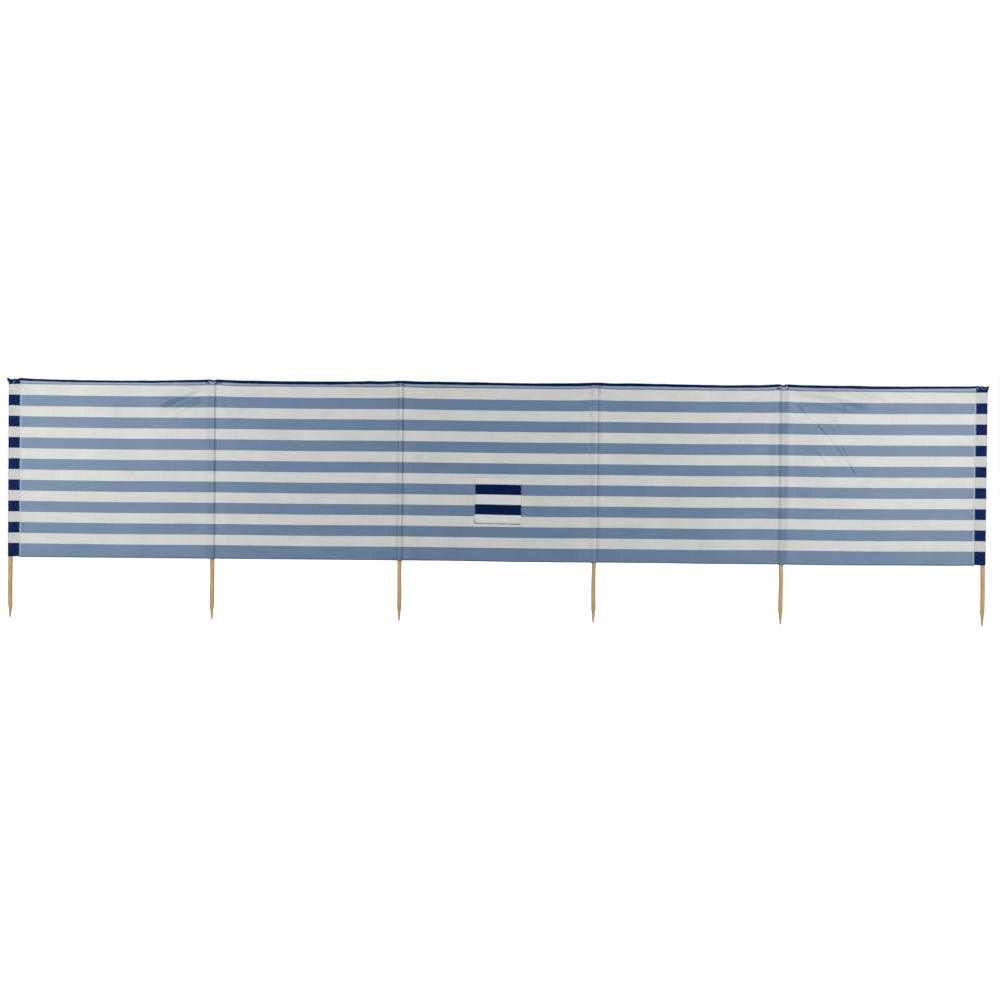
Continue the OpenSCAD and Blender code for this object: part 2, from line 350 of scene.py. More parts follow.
def make_shell(middle, at, thickness, first=0, near=0, far=1):
    """A closed thin sheet about the surface middle, whose grid runs along the cloth and then up it:
    each point is moved half the thickness along the surface's normal, to the near side and to the
    far one, and a rim joins the two. Gives points, faces, materials, flat faces and places."""
    along, up = np.gradient(middle, axis=0), np.gradient(middle, axis=1)
    normal = np.cross(along, up)
    normal /= np.linalg.norm(normal, axis=-1, keepdims=True)
    half = normal * thickness / 2
    rows, columns = middle.shape[:2]
    count = rows * columns
    points = np.vstack([(middle + half).reshape(-1, 3), (middle - half).reshape(-1, 3)])
    number = np.arange(count).reshape(rows, columns)
    edge = np.concatenate([number[:-1, 0], number[-1, :-1], number[:0:-1, -1], number[0, :0:-1]])
    on = np.roll(edge, -1)
    face = grid_quads(rows, columns)
    rim = np.stack([on, edge, edge + count, on + count], axis=1)
    faces = np.vstack([face, face[:, ::-1] + count, rim]) + first
    finish = np.repeat([near, far, near], [len(face), len(face), len(rim)])
    flat = np.repeat([False, False, True], [len(face), len(face), len(rim)])
    place = np.asarray(at, float).reshape(-1, 3)
    return points, faces.tolist(), finish, flat, np.vstack([place, place])


def make_sheet(name, middle, at, thickness, near, far):
    """One closed thin sheet as an object, with a material for its near side and one for its far."""
    points, faces, finish, flat, at = make_shell(middle, at, thickness)
    return make_piece(name, points, faces, [near, far], finish, flat, at)


def make_group(name, inputs, outputs):
    """A shader node group with its named inputs, given with their usual values, and outputs."""
    tree = bpy.data.node_groups.new(name, "ShaderNodeTree")
    for label, (kind, usual) in inputs.items():
        socket = tree.interface.new_socket(label, in_out="INPUT", socket_type="NodeSocket" + kind)
        if usual is not None:
            socket.default_value = usual
    for label, kind in outputs.items():
        tree.interface.new_socket(label, in_out="OUTPUT", socket_type="NodeSocket" + kind)
    return tree, tree.nodes.new("NodeGroupInput").outputs, tree.nodes.new("NodeGroupOutput").inputs


def make_stripe_group():
    """Even stripes by height: 1 in a dark stripe and 0 in a white one, with a slightly bled edge.
    The lowest dark stripe runs on to the cloth's foot."""
    tree, given, out = make_group("even_stripes", {"Place": ("Vector", None), "Bleed": ("Float", 0.0007)},
                                  {"Dark": "Float"})
    wobble = add(tree, "TexNoise", {"Vector": given["Place"], "Scale": 90.0, "Detail": 3.0}).outputs[0]
    up = add(tree, "SeparateXYZ", {0: given["Place"]}).outputs[1]
    up = maths(tree, "MULTIPLY_ADD", maths(tree, "SUBTRACT", wobble, 0.5), 0.0012, up)
    up = maths(tree, "MAXIMUM", up, STRIPE_FIRST - STRIPE_PITCH + 0.004)
    turn = maths(tree, "FRACT", maths(tree, "DIVIDE", maths(tree, "SUBTRACT", up, STRIPE_FIRST),
                                      STRIPE_PITCH))
    off = maths(tree, "ABSOLUTE", maths(tree, "SUBTRACT", turn, STRIPE_BLUE / STRIPE_PITCH / 2))
    off = maths(tree, "MINIMUM", off, maths(tree, "SUBTRACT", 1.0, off))
    off = maths(tree, "MULTIPLY", off, STRIPE_PITCH)
    edge = STRIPE_BLUE / 2
    low, high = maths(tree, "SUBTRACT", edge, given["Bleed"]), maths(tree, "ADD", edge, given["Bleed"])
    dark = add(tree, "MapRange", {0: off, 1: low, 2: high, 3: 1.0, 4: 0.0},
               interpolation_type="SMOOTHSTEP").outputs[0]
    tree.links.new(dark, out["Dark"])
    return tree


def make_weave_group():
    """A plain weave: warp and weft threads as crossed sine waves, thicker threads here and there, and the
    faint streaks and clouds of a thin coated cloth. Its tone is painted lighter where the threads stand
    higher, as painted shade between the threads, and varies at random in clouds and specks."""
    tree, given, out = make_group("plain_weave", {"Place": ("Vector", None), "Thread": ("Float", 0.0008)},
                                  {"Height": "Float", "Tone_and_painted_shade": "Float"})
    split = add(tree, "SeparateXYZ", {0: given["Place"]}).outputs
    turns = [maths(tree, "MULTIPLY", maths(tree, "DIVIDE", split[n], given["Thread"]), math.pi)
             for n in (0, 1)]
    waves = [maths(tree, "SINE", t) for t in turns]
    checks = maths(tree, "MULTIPLY", waves[0], waves[1])
    drawn = {}
    for label, scale in (("warp", (900, 22, 1)), ("weft", (18, 800, 1)), ("cloud", (9, 9, 1)),
                         ("speck", (140, 140, 1))):
        at = add(tree, "Mapping", {0: given["Place"], 3: scale}).outputs[0]
        drawn[label] = add(tree, "TexNoise", {"Vector": at, "Scale": 1.0, "Detail": 3.0}).outputs[0]
    slubs = maths(tree, "ADD", drawn["warp"], drawn["weft"])
    height = maths(tree, "MULTIPLY_ADD", checks, 0.5, slubs)
    # Painted shade: the tone is lighter on the thick slubs and on the threads' crowns.
    tone = maths(tree, "MULTIPLY_ADD", drawn["cloud"], 0.18, maths(tree, "MULTIPLY", slubs, 0.12))
    tone = maths(tree, "MULTIPLY_ADD", drawn["speck"], 0.30, tone)
    tone = maths(tree, "MULTIPLY_ADD", checks, 0.025, maths(tree, "ADD", tone, 0.64))
    tree.links.new(height, out["Height"])
    tree.links.new(tone, out["Tone_and_painted_shade"])
    return tree


stripe_group, weave_group = make_stripe_group(), make_weave_group()


def make_cloth(name, white, dark, rough, relief=0.00012, worn=0.0, sheen=0.05, gloss_level=0.5):
    """Striped cloth: the stripes choose white or dark, the weave's painted shade and its clouds vary the
    tone, and worn lets pale threads through the dark print."""
    made, tree, shader = new_material(name, Sheen_Weight=sheen, Sheen_Roughness=0.45,
                                      Specular_IOR_Level=gloss_level)
    place = add(tree, "Attribute", attribute_name="cloth_at").outputs["Vector"]
    stripes = add(tree, "Group", node_tree=stripe_group)
    weave = add(tree, "Group", node_tree=weave_group)
    for group in (stripes, weave):
        tree.links.new(place, group.inputs["Place"])
    colour = blend_colour(tree, stripes.outputs["Dark"], white, dark)
    if worn:
        rubbed = add(tree, "TexNoise", {"Vector": place, "Scale": 55.0, "Detail": 6.0,
                                        "Roughness": 0.7}).outputs[0]
        rubbed = add(tree, "MapRange", {0: rubbed, 1: 0.56, 2: 0.80, 3: 0.0, 4: worn}).outputs[0]
        colour = blend_colour(tree, rubbed, colour, white)
    tone = weave.outputs["Tone_and_painted_shade"]
    shade = add(tree, "CombineColor", {0: tone, 1: tone, 2: tone}).outputs[0]
    colour = blend_colour(tree, 1.0, colour, shade, "MULTIPLY")
    gloss = add(tree, "MapRange", {0: weave.outputs["Height"], 1: 0.4, 2: 1.6, 3: rough + 0.06,
                                   4: rough - 0.06}).outputs[0]
    bump = add(tree, "Bump", {"Height": weave.outputs["Height"], "Strength": 0.6,
                              "Distance": relief}).outputs[0]
    tree.links.new(colour, shader.inputs["Base Color"])
    tree.links.new(gloss, shader.inputs["Roughness"])
    tree.links.new(bump, shader.inputs["Normal"])
    return made


washed = make_cloth("washed_side", WASHED_WHITE, WASHED_BLUE, 0.47)
printed = make_cloth("printed_side", PRINT_WHITE, PRINT_NAVY, 0.46, worn=0.004, sheen=0.0, gloss_level=0.06)

bay_cloth = {}
for k in BAYS:
    x0, x1 = bay_ends(k)
    step = 0.0052 if k in (1, 5) else 0.0075
    x = np.linspace(x0, x1, round((x1 - x0) / step))[:, None]
    up = np.linspace(CLOTH_FOOT, CLOTH_TOP - 0.003, round(0.89 / step))[None, :]
    bay_cloth[k] = make_sheet(f"bay_cloth_{k}", grid_of(x, cloth_y(k, x, up), cloth_z(x, up)),
                              grid_of(x, stripe_place(x, up), 0), CLOTH_T, washed, printed)
    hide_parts(f"cloth_bay_{k}")
    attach(bay_cloth[k], BAY_BODY[k])


# ---------------------------------------------------------------------------- Sleeves between bays
# Where the cloth passes an inner pole, a strip of the same cloth is sewn to its far side, and the
# pole slides into the channel between. The near cloth stands over the pole in a loose pleat that
# leans to one side, and the channel closes flat above the pole's top.
INNER = range(2, 6)
SLEEVE_T = 0.0007
SEAM_LAP = 0.0035
# Each pleat's outline in plan: straight walls, each through a place at x from the pole's axis, at a
# height above the flat cloth, with a slope in degrees.
PLEAT = {2: [(-0.0310, 0, 22), (0.0150, 0, -55)],
         3: [(-0.0165, 0, 47), (0, 0.0134, 0), (0.0130, 0, -67)],
         4: [(-0.0245, 0, 33), (0, 0.0140, 0), (0.0020, 0.0140, -13), (0.0180, 0, -62)],
         5: [(-0.0180, 0, 43), (0.0285, 0, -27)]}
BEHIND = [(-0.0155, 0, 50), (0, 0.0122, 0), (0.0155, 0, -50)]


def pleat_depth(x, up, walls):
    """How far a channel's cloth stands out, x being measured from the pole's axis: the least of its
    walls, with rounded joins. It sinks to a tenth over the pole's top."""
    sink = 1 - 0.9 * ease((up - (POLE_TOP + 0.0010)) / 0.0125)
    heights = [high + (x - at_x) * math.tan(math.radians(slope)) for at_x, high, slope in walls]
    least = -0.0008 * np.log(sum(np.exp(-np.maximum(h, -0.01) / 0.0008) for h in heights))
    return np.maximum(least, 0) * sink


def settle(line, times):
    """Rounds a path's corners, each point moving to the mean of itself and its neighbours."""
    for _ in range(times):
        line[1:-1] = (line[:-2] + 2 * line[1:-1] + line[2:]) / 4
    return line


channels = {}
for k in INNER:
    left, right = SEAM_LEFT[k] + SEAM_LAP, SEAM_RIGHT[k] + SEAM_LAP
    up = np.concatenate([np.linspace(CLOTH_FOOT - 0.0005, 1.13, 92),
                         np.linspace(1.135, CLOTH_TOP - 0.007, 24)])[None, :]
    for side, label in ((-1, "near"), (1, "far")):
        x = np.linspace(-left, right, 40)[:, None]
        stands = settle(pleat_depth(x, up, PLEAT[k] if side < 0 else BEHIND), 1)
        loose = ease(stands / 0.004)
        ruffle = np.abs(ripples(x * 2.0, up, 90 + 7 * k + side, 0.03, 0.16, 0.00026, 10))
        gather = 0.0016 * np.exp(-(((up - 1.168) / 0.011) ** 2)) * np.maximum(np.cos(x / 0.0052 + k), 0)
        y = side * (stands + loose * (ruffle + gather) + 0.00055)
        middle = grid_of(x + POLE_X[k], y, cloth_z(x + POLE_X[k], up))
        at = grid_of(x + POLE_X[k], stripe_place(x + POLE_X[k], up), 0)
        cloths = [washed, printed][::-side]
        strip = make_sheet(f"channel_{label}_{k}", middle[::-side], at[::-side], SLEEVE_T, *cloths)
        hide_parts(f"sleeve_{k}")
        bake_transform(strip)
        width = np.hypot(np.diff(x[:, 0]), np.diff(y[:, 0])).sum()
        channels[k, label] = strip, round(float(width), 3)


# ---------------------------------------------------------------------------- End sleeves
# At each end the cloth is wrapped round the outer pole and folded back on itself toward the near
# side, where its print shows, and is sewn down. Its top is gathered and its foot is drawn up.
END_T = 0.0009
END_R = 0.0120
CLOSED_R = 0.0030
END_FOOT = 0.310
# The wraps' print: its white is greyer, a painted shade of the crumpled cloth, and its navy is lighter, a
# painted sheen.
WRAP_WHITE_PAINTED_SHADE = (0.70, 0.705, 0.71, 1)
WRAP_NAVY_PAINTED_SHEEN = (0.0010, 0.0150, 0.098, 1)
WRAP_SHIFT = {1: 0.0005, 6: -0.0005}
WRAP_DIP = {1: 1.0, 6: 0.35}
# Folds of the gathered top, along which the near face takes the washed side's colours: start and end,
# measured inward from the pole's axis and up, and half the width.
WRAP_FOLDS = {1: [(-0.0095, 1.1755, 0.0020, 1.1915, 0.0021), (0.0085, 1.1765, 0.0240, 1.1925, 0.0021)],
              6: [(0.0450, 1.2010, 0.0335, 1.1820, 0.0021), (0.0310, 1.2005, 0.0130, 1.1845, 0.0024),
                  (0.0160, 1.1855, -0.0080, 1.1905, 0.0019)]}
WRAP_CREASES = {1: [(0.0060, 1.1660, 0.0340, 1.1540, 0.0030), (-0.0060, 1.1420, 0.0300, 1.1360, 0.0040),
                    (0.0, 1.0480, 0.0280, 1.0400, 0.0040)],
                6: [(0.0390, 1.1680, 0.0080, 1.1560, 0.0028), (0.0300, 1.1500, 0.0, 1.1400, 0.0040),
                    (0.0360, 1.0700, 0.0100, 1.0380, 0.0045), (0.0375, 0.3500, 0.0330, 0.3290, 0.0016),
                    (0.0330, 0.3290, 0.0200, 0.3145, 0.0016)]}


def over_faces(grid):
    """Each face's sum of a value over its four corners."""
    return grid[:-1, :-1] + grid[1:, :-1] + grid[:-1, 1:] + grid[1:, 1:]


def along_lines(x, z, lines):
    """How near each place is to the nearest of some lines: 1 on a line, falling off sideways over
    its half width and toward its ends."""
    near = 0 * x * z
    for ax, az, bx, bz, wide in lines:
        length = math.hypot(bx - ax, bz - az)
        s = ((x - ax) * (bx - ax) + (z - az) * (bz - az)) / length ** 2
        off = ((x - ax) * (bz - az) - (z - az) * (bx - ax)) / length
        near = np.maximum(near, np.exp(-((off / wide) ** 2)) * ease(s / 0.2) * ease((1 - s) / 0.2))
    return near


# The wraps' printed side, with painted shade in its white and painted sheen in its navy.
wrap_print_painted_light = make_cloth("wrap_print_painted_light", WRAP_WHITE_PAINTED_SHADE, WRAP_NAVY_PAINTED_SHEEN, 0.5, worn=0.012, sheen=0.0,
                         gloss_level=0.1)
end_wraps, wrap_width = {}, {}
across = np.linspace(0, 1, 76)[:, None]
for k, side in ((1, 1), (6, -1)):
    up = np.concatenate([np.linspace(END_FOOT, 0.36, 20), np.linspace(0.366, 1.12, 110),
                         np.linspace(1.1225, CLOTH_TOP + 0.0005, 46)])[None, :]
    closing = ease((up - (POLE_TOP + 0.001)) / 0.016)
    radius = END_R * (1 - closing) + CLOSED_R * closing
    meet = np.arccos(radius / END_REACH)
    flat_run, arc = np.sqrt(END_REACH ** 2 - radius ** 2), radius * (2 * np.pi - 2 * meet)
    s = across * (2 * flat_run + arc)
    turn = np.clip(meet + (s - flat_run) / radius, meet, 2 * np.pi - meet)
    x, y = radius * np.cos(turn), radius * np.sin(turn)
    for straight in (1 - s / flat_run, (s - flat_run - arc) / flat_run):
        straight = np.clip(straight, 0, 1)
        x, y = x + (END_REACH - x) * straight, y * (1 - straight)
    x, y = settle(x, 2), settle(y, 2)
    near = ease((across - 0.5) / 0.06)
    y = y + (1 - near) * (CLOTH_T + 0.0004) - near * (CLOTH_T / 2 + 0.0008)
    slack = np.sin(np.pi * across) ** 0.5
    crumple = slack * np.abs(ripples(x * 1.2 + 0.5 * up, up, 120 + k, 0.018, 0.07, 0.0007, 22))
    gathered = ease((up - 1.155) / 0.03)
    pushed = ease((radius - 0.004) / 0.004)
    folds, creases = along_lines(x, up, WRAP_FOLDS[k]), along_lines(x, up, WRAP_CREASES[k])
    y = y - near * (crumple * (2.8 + 1.2 * gathered * pushed) + 0.0020 * folds + 0.0034 * creases)
    y = y + (1 - near) * crumple * 0.4
    cuff = 0.0026 * np.sin(np.pi * np.clip(2 * across - 1, 0, 1)) * (1 - ease((up - END_FOOT) / 0.03))
    crown = ripples(across * 0.05, up, 140 + k, 0.012, 0.05, 0.0005, 16) * gathered
    low = ease(np.minimum(across, 1 - across) / 0.14)
    crown = crown - 0.0054 * WRAP_DIP[k] * low * ease((up - 1.176) / 0.024)
    middle = grid_of(POLE_X[k] + side * x, y, cloth_z(POLE_X[k] + side * x, up) - cuff + crown)
    at = grid_of(s, up + WRAP_SHIFT[k], 0)
    shown = over_faces((folds * near)[::side]) > 1.9
    points, faces, finish, flat, at = make_shell(middle[::side], at[::side], END_T)
    finish[:shown.size] = shown.ravel()
    end_wraps[k] = make_piece(f"end_wrap_{k}", points, faces, [wrap_print_painted_light, washed], finish, flat, at)
    wrap_width[k] = round(float((2 * flat_run + arc)[0, 0]), 3)
    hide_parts(f"sleeve_{k}")
    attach(end_wraps[k], POLE_BODY[k])

# The wrap's raw edge is turned under and shows beside it as a narrow strip of faded cloth.
EDGE_FADED = (0.30, 0.40, 0.54, 1)
EDGE_T = 0.0006
edging = make_cloth("turned_edge", WASHED_WHITE, EDGE_FADED, 0.47)
edge_strips = {}
for k, side in ((1, 1), (6, -1)):
    x = POLE_X[k] + side * np.linspace(END_REACH - 0.002, END_REACH + 0.0085, 6)[::side, None]
    up = np.linspace(CLOTH_FOOT + 0.004, BAND_FOOT, 120)[None, :]
    y = cloth_y(1 if k == 1 else 5, x, up) - CLOTH_T / 2 - 0.0005
    edge_strips[k] = make_sheet(f"turned_edge_{k}", grid_of(x, y, cloth_z(x, up)),
                                grid_of(x, stripe_place(x, up), 0), EDGE_T, edging, edging)
    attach(edge_strips[k], POLE_BODY[k])


# ---------------------------------------------------------------------------- Top hem
# The top edge is rolled toward the near side, so that the navy print shows as a thin roll, over a
# pale turned band with a row of stitches. It runs on over each pole's top.
ROLL_H = 0.0060
ROLL_T = 0.0027
ROLL_DROP = 0.0058
ROLL_THINNER = {2: 0.32, 5: 0.36}
# How far down the stripes the arms' colour is moved, into white: a painted highlight.
TO_PAINTED_HIGHLIGHT = 0.022
# The band's blue, paler than the washed stripes' blue.
BAND_PALE_BLUE = (0.33, 0.40, 0.53, 1)
# The arms' painted highlight.
ARM_PAINTED_HIGHLIGHT = (0.66, 0.71, 0.79, 1)
# How thick the roll is at places along the run, beside its usual thickness.
ROLL_X = [-1.86, -1.66, -1.46, -1.26, -1.06, -0.855, -0.655, -0.35, 0.15, 0.45, 0.65, 0.955, 1.25, 1.56,
          1.86, 2.06, 2.36, 2.56, 2.77, 2.87]
ROLL_SWELL = [1.03, 1.03, 0.93, 0.95, 1.05, 1.24, 1.32, 1.30, 1.27, 1.20, 1.24, 1.36, 1.24, 1.16, 1.10,
              1.30, 1.20, 1.10, 1.0, 0.98]
# Beside each inner pole the hem is drawn into arms that meet over the pole in a V, made pale with a
# painted highlight, and beside them the band takes the printed side's colours in spots: places measured from
# the pole's axis.
HEM_ARMS = {2: [(-0.0250, 1.1968, -0.0035, 1.1760, 0.0024), (0.0140, 1.1980, -0.0015, 1.1760, 0.0023),
                (-0.0080, 1.1802, 0.0030, 1.1802, 0.0020)],
            3: [(-0.020, 1.1810, 0.010, 1.1750, 0.0013)], 4: [(0.006, 1.1860, 0.008, 1.1660, 0.0015)],
            5: [(-0.0210, 1.1970, 0.0080, 1.1770, 0.0022), (0.0240, 1.1985, 0.0110, 1.1770, 0.0019),
                (0.0040, 1.1802, 0.0130, 1.1802, 0.0018)]}
HEM_PRINT_SPOTS = {2: [(-0.044, 1.1860, -0.011, 1.1830, 0.0028), (0.004, 1.1830, 0.046, 1.1862, 0.0026)],
             3: [(-0.022, 1.1840, -0.006, 1.1835, 0.0012), (0.004, 1.1838, 0.020, 1.1820, 0.0014)],
             4: [(-0.034, 1.1850, -0.018, 1.1840, 0.0014), (0.008, 1.1840, 0.018, 1.1830, 0.0014)],
             5: [(-0.034, 1.1850, -0.012, 1.1800, 0.0028), (0.012, 1.1840, 0.030, 1.1850, 0.0020)]}
# The band's cloth: its white is only the arms' painted highlight.
band_cloth_with_highlight = make_cloth("turned_band", ARM_PAINTED_HIGHLIGHT, BAND_PALE_BLUE, 0.5)


def roll_middle(k, x):
    """Where the roll's axis runs: just under the cloth's top edge and a little in front of it."""
    wander = ripples(x, 0 * x, 160, 0.05, 0.4, 0.0005)
    y = cloth_y(k, x, 0 * x + CLOTH_TOP) if k else 0 * x
    for pole in INNER:
        y = y - 0.0022 * np.exp(-(((x - POLE_X[pole]) / 0.012) ** 2))
    return y - 0.0014, cloth_z(x, 0 * x + CLOTH_TOP) - ROLL_DROP + wander * 0.6


def make_top_hem(name, k, pole, x):
    """A flattened roll carried along the top edge, its section swelling and twisting slowly, and
    below it the turned band as a thin sheet whose foot stands a little proud."""
    sides = 12
    turn = np.linspace(0, 2 * np.pi, sides, endpoint=False)
    x = x[:, None]
    y, z = roll_middle(k, x)
    swell = np.interp(x, ROLL_X, ROLL_SWELL) + ripples(x, 0 * x, 170, 0.06, 0.30, 0.05)
    for n, thinner in ROLL_THINNER.items():
        swell = swell * (1 - thinner * np.exp(-(((x - POLE_X[n]) / 0.011) ** 2)))
    groove = 1 + 0.06 * np.cos(2 * turn + 25 * x)
    roll = grid_of(x, y + ROLL_T * swell * groove * np.sin(turn), z + ROLL_H * swell * np.cos(turn))
    roll = roll.reshape(-1, 3)
    rows = len(x)
    faces = grid_quads(rows, sides, ring=True).tolist()
    faces += [list(range(sides)), [(rows - 1) * sides + n for n in range(sides - 1, -1, -1)]]
    roll_at = grid_of(x, CLOTH_TOP - 0.012 + 0.0045 * turn / np.pi, 0).reshape(-1, 3)
    up = np.linspace(BAND_FOOT, CLOTH_TOP - 0.007, 10)[None, :]
    behind = cloth_y(k, x, up) if k else -pleat_depth(x - POLE_X[pole], up, PLEAT[pole]) - 0.0006
    arms = np.max([along_lines(x - POLE_X[n], up, HEM_ARMS[n]) for n in INNER], axis=0)
    print_spots = np.max([along_lines(x - POLE_X[n], up, HEM_PRINT_SPOTS[n]) for n in INNER], axis=0)
    proud = 0.0012 + 0.0007 * np.exp(-(((up - BAND_FOOT) / 0.003) ** 2)) + 0.0026 * arms
    middle = grid_of(x, behind - proud, cloth_z(x, up))
    # Painted highlight: along the arms the band's cloth is moved into its white.
    at = grid_of(x, up - TO_PAINTED_HIGHLIGHT * ease(arms / 0.8), 0)
    points, band, finish, flat, at = make_shell(middle, at, CLOTH_T, first=len(roll), near=1, far=1)
    # In these spots the band's near face takes the printed side's colours.
    shown = over_faces(print_spots).ravel() < 1.5
    finish[:shown.size] = shown
    return make_piece(name, np.vstack([roll, points]), faces + band, [printed, band_cloth_with_highlight],
                      np.concatenate([np.zeros(len(faces), int), finish]),
                      np.concatenate([np.arange(len(faces)) >= len(faces) - 2, flat]),
                      np.vstack([roll_at, at]))


top_hems, crossings = {}, {}
for k in BAYS:
    x0, x1 = bay_ends(k)
    top_hems[k] = make_top_hem(f"rolled_hem_{k}", k, 0, np.linspace(x0, x1, round((x1 - x0) / 0.004)))
    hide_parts(f"top_hem_{k}")
    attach(top_hems[k], BAY_BODY[k])
for k in INNER:
    x = np.linspace(POLE_X[k] - SEAM_LEFT[k], POLE_X[k] + SEAM_RIGHT[k], 34)
    crossings[k] = make_top_hem(f"hem_over_pole_{k}", 0, k, x)
    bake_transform(crossings[k])
    for label, hem in (("near", [crossings[k]]), ("far", [])):
        strip, width = channels[k, label]


# ---------------------------------------------------------------------------- Bottom hem
# The bottom edge is turned up once to the far side and sewn, which leaves a narrow band of the
# washed side showing there and a thin ridge along the foot on the near side, whose front is painted
# a darker blue as painted shade.
HEM_H = 0.009
HEM_T = 0.0007
# The ridge's darker blue is painted shade.
FOOT_SHADED = (0.092, 0.152, 0.255, 1)
# The fold's section, from its edge behind the cloth to its front: lift above the foot and depth.
HEM_FOLD = np.array([(HEM_H, 0.0013), (HEM_H * 0.75, 0.0016), (HEM_H * 0.4, 0.0016), (0.001, 0.0014),
                     (-0.0009, 0.0006), (-0.0010, -0.0006), (0.001, -0.0012), (0.0025, -0.0013),
                     (0.0048, -0.0009)])
shaded = make_cloth("foot_edge_painted_shade", WASHED_WHITE, FOOT_SHADED, 0.5)
bottom_hems = {}
lift, depth = HEM_FOLD.T[:, None]
up = CLOTH_FOOT + np.maximum(lift, 0)
for k in BAYS:
    x0, x1 = bay_ends(k)
    x = np.linspace(x0, x1, round((x1 - x0) / 0.008))[:, None]
    middle = grid_of(x, cloth_y(k, x, up) + depth, cloth_z(x, CLOTH_FOOT + lift))
    at = grid_of(x, CLOTH_FOOT + 0.01 + lift, 0)
    points, faces, finish, flat, at = make_shell(middle, at, HEM_T)
    on_near = np.tile(np.arange(len(HEM_FOLD) - 1) >= 4, len(x) - 1)
    finish[:len(on_near)][on_near] = 2
    finish[len(on_near):2 * len(on_near)][on_near] = 2
    bottom_hems[k] = make_piece(f"turned_foot_{k}", points, faces, [washed, washed, shaded], finish, flat, at)
    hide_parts(f"bottom_hem_{k}")
    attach(bottom_hems[k], BAY_BODY[k])


# ---------------------------------------------------------------------------- Corner folds
# At each top corner the spare end of the rolled hem is crumpled into an ear that stands out past
# the end sleeve. It is the same cloth, doubled, with its print outside.
ears = {}
EAR_T = 0.0014
# The ear's upper and lower outline, from inside the sleeve to its tip.
EAR_S = [0, 0.2, 0.4, 0.55, 0.72, 0.85, 0.94, 1]
EAR_TOP = {1: [1.1955, 1.1972, 1.1985, 1.2010, 1.2042, 1.2050, 1.2038, 1.2008],
           6: [1.2000, 1.2022, 1.2035, 1.2045, 1.2062, 1.2082, 1.2092, 1.2080]}
EAR_FOOT = {1: [1.1800, 1.1790, 1.1790, 1.1800, 1.1840, 1.1885, 1.1912, 1.1940],
            6: [1.1800, 1.1790, 1.1790, 1.1790, 1.1820, 1.1880, 1.1935, 1.1985]}
for k, side, tip in ((1, -1, 0.0205), (6, 1, 0.0180)):
    s, t = np.linspace(0, 1, 22)[:, None], np.linspace(-1, 1, 12)[None, :]
    x = POLE_X[k] + side * ((tip + 0.006) * s - 0.006)
    top, foot = np.interp(s, EAR_S, EAR_TOP[k]), np.interp(s, EAR_S, EAR_FOOT[k])
    z = (top + foot) / 2 + t * (top - foot) / 2
    behind = 0.0125 * np.sqrt(np.clip(1 - ((x - POLE_X[k]) / 0.0135) ** 2, 0, 1))
    behind = behind * (1 - ease((z - POLE_TOP) / 0.014))
    y = -behind - 0.0024 - 0.0030 * (1 - t ** 2) * (1 - 0.5 * s) + 0.0010 * np.sin(11 * s + 5 * t + k)
    y = y + ripples(s * 0.03, t * 0.02, 180 + k, 0.008, 0.02, 0.0006)
    middle, at = grid_of(x, y, z)[::side], grid_of(0.04 * s, 1.193 + 0.012 * t, 0)
    ears[k] = make_sheet(f"corner_ear_{k}", middle, at, EAR_T, printed, printed)
    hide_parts("corner_fold_left" if side < 0 else "corner_fold_right")
    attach(ears[k], POLE_BODY[k])


# ---------------------------------------------------------------------------- Pocket
# A patch of the striped cloth with its print outward, sewn on the near side of the middle bay
# along three edges. Its mouth has a white hem, and its foot is puckered by the stitches.
POCKET_LOW, POCKET_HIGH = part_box("pocket")
POCKET_T = 0.0008
POCKET_STRIPE = 0.953
POCKET_NAVY = 0.044
POCKET_HEM = 0.024
TURNING_T = 0.0005


def pocket_y(x, z):
    """The patch lies on the bay's cloth and swells a little between its edges; its mouth stands
    a little open, and its foot is drawn into small puckers."""
    u = (x - POCKET_LOW[0]) / (POCKET_HIGH[0] - POCKET_LOW[0])
    v = (z - POCKET_LOW[2]) / (POCKET_HIGH[2] - POCKET_LOW[2])
    swell = 0.0030 * np.sin(np.pi * np.clip(u, 0, 1)) ** 0.6 * ease(v / 0.35)
    swell = swell * (0.55 + 0.45 * ease((v - 0.7) / 0.3))
    pucker = 0.0026 * np.abs(np.sin(31 * u + 2 * np.sin(7 * u))) * np.exp(-(((v - 0.09) / 0.07) ** 2))
    wave = ripples(x, z, 200, 0.03, 0.11, 0.00035) * ease(np.minimum(u, 1 - u) / 0.06)
    return cloth_y(3, x, z) - CLOTH_T / 2 - 0.0009 - swell - pucker - wave


u, v = np.linspace(0, 1, 64)[:, None], np.linspace(0, 1, 62)[None, :]
width, tall = POCKET_HIGH[0] - POCKET_LOW[0], POCKET_HIGH[2] - POCKET_LOW[2]
x = POCKET_LOW[0] + width * u + 0.004 * (v - 0.35) * (1 - u) - 0.001 * v * u
z = POCKET_LOW[2] + 0.002 + (tall - 0.002) * v + 0.0018 * np.sin(np.pi * u) * (v - 0.5)
z = z + 0.0045 * (1 - u) * (1 - 0.7 * v) - 0.0010 * np.abs(np.sin(20 * u)) * (1 - v) ** 6
at = grid_of(x, STRIPE_FIRST + (0.002 + (tall - 0.002) * v - POCKET_NAVY) / POCKET_STRIPE, 0)
patch = make_sheet("pocket_patch", grid_of(x, pocket_y(x, z), z), at, POCKET_T, printed, washed)
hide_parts("pocket")

